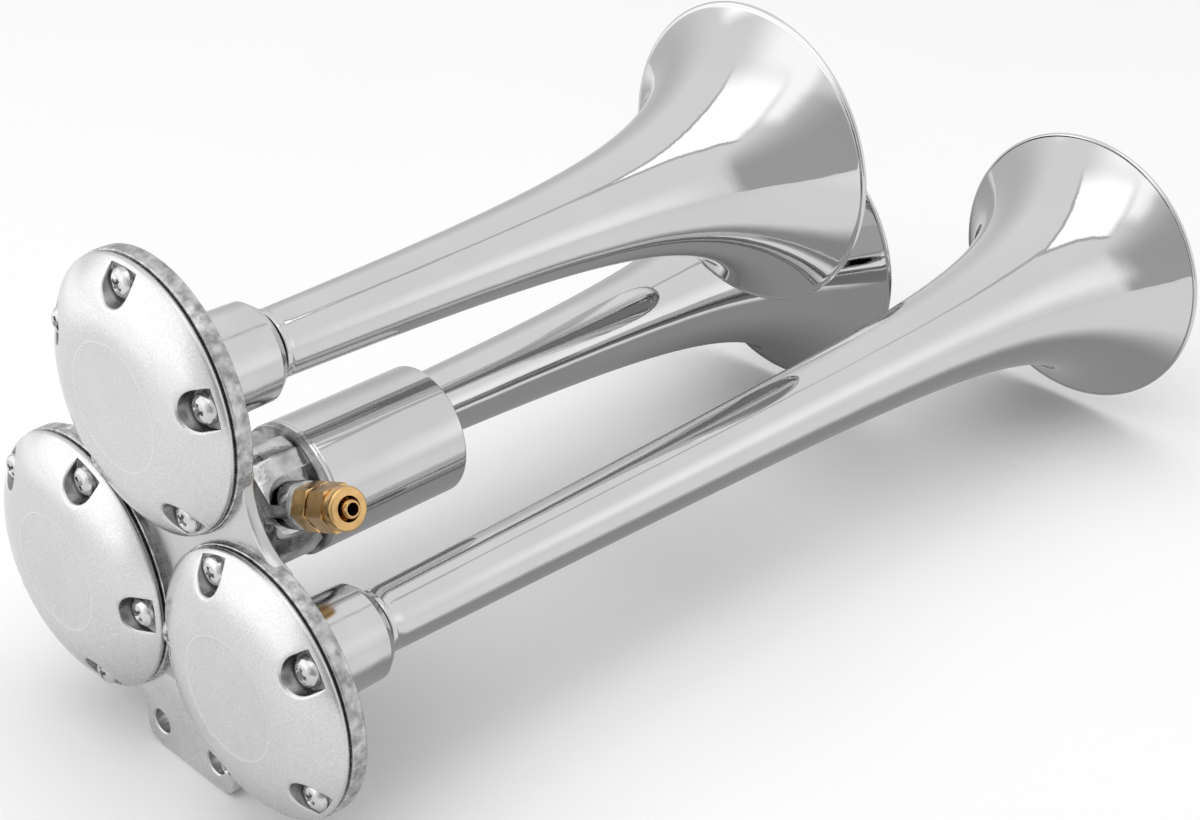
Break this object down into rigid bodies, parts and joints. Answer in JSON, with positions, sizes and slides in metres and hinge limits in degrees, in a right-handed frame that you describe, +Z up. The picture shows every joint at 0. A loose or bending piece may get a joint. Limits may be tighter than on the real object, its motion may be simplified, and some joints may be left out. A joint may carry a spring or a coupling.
{
  "type": "car air horn",
  "caption": "Trumpet air horn for a vehicle: flared trumpets of different length on a cast manifold with domed diaphragm covers, an electric air valve and a hose inlet.",
  "frame": {"origin": "midway between the two mounting holes, on the back face of the mounting tab", "axes": "+X along the trumpets towards the bells, +Z up, +Y to the left seen from the covers"},
  "size_m": [0.4014, 0.1928, 0.1849],
  "materials": {
    "manifold": "chrome plate on an unpolished casting",
    "covers": "chrome plate with a faint turned grain",
    "trumpets": "mirror chrome plate",
    "canister": "polished chrome plate",
    "screws": "bright plated steel",
    "spring_steel": "bare spring steel",
    "steel": "turned steel",
    "rubber": "matt black rubber",
    "brass": "turned brass",
    "washer": "pale sealing washer",
    "bobbin": "moulded plastic",
    "winding": "enamelled copper wire"
  },
  "bodies": {
    "horn": {"manifold": "manifold", "top_cover": "covers", "left_cover": "covers", "right_cover": "covers", "top_trumpet": "trumpets", "left_trumpet": "trumpets", "right_trumpet": "trumpets", "canister": "canister", "cover_screws": "screws", "canister_nut": "screws", "top_diaphragm": "spring_steel", "left_diaphragm": "spring_steel", "right_diaphragm": "spring_steel", "return_spring": "spring_steel", "pole_core": "steel", "top_gasket": "rubber", "left_gasket": "rubber", "right_gasket": "rubber", "top_throat_seal": "rubber", "left_throat_seal": "rubber", "right_throat_seal": "rubber", "cable_grommet": "rubber", "inlet_fitting": "brass", "compression_nut": "brass", "guide_tube": "brass", "inlet_washer": "washer", "coil_bobbin": "bobbin", "coil_winding": "winding"},
    "valve_plunger": {"plunger": "steel", "plunger_seal": "rubber"}
  },
  "joints": [
    {"name": "plunger_slide", "type": "slide", "parent": "horn", "child": "valve_plunger", "axis": [1, 0, 0], "range_m": [0, 0.003], "stiffness_N_per_m": 300, "springref_m": -0.004, "deforming": ["return_spring"]}
  ]
}
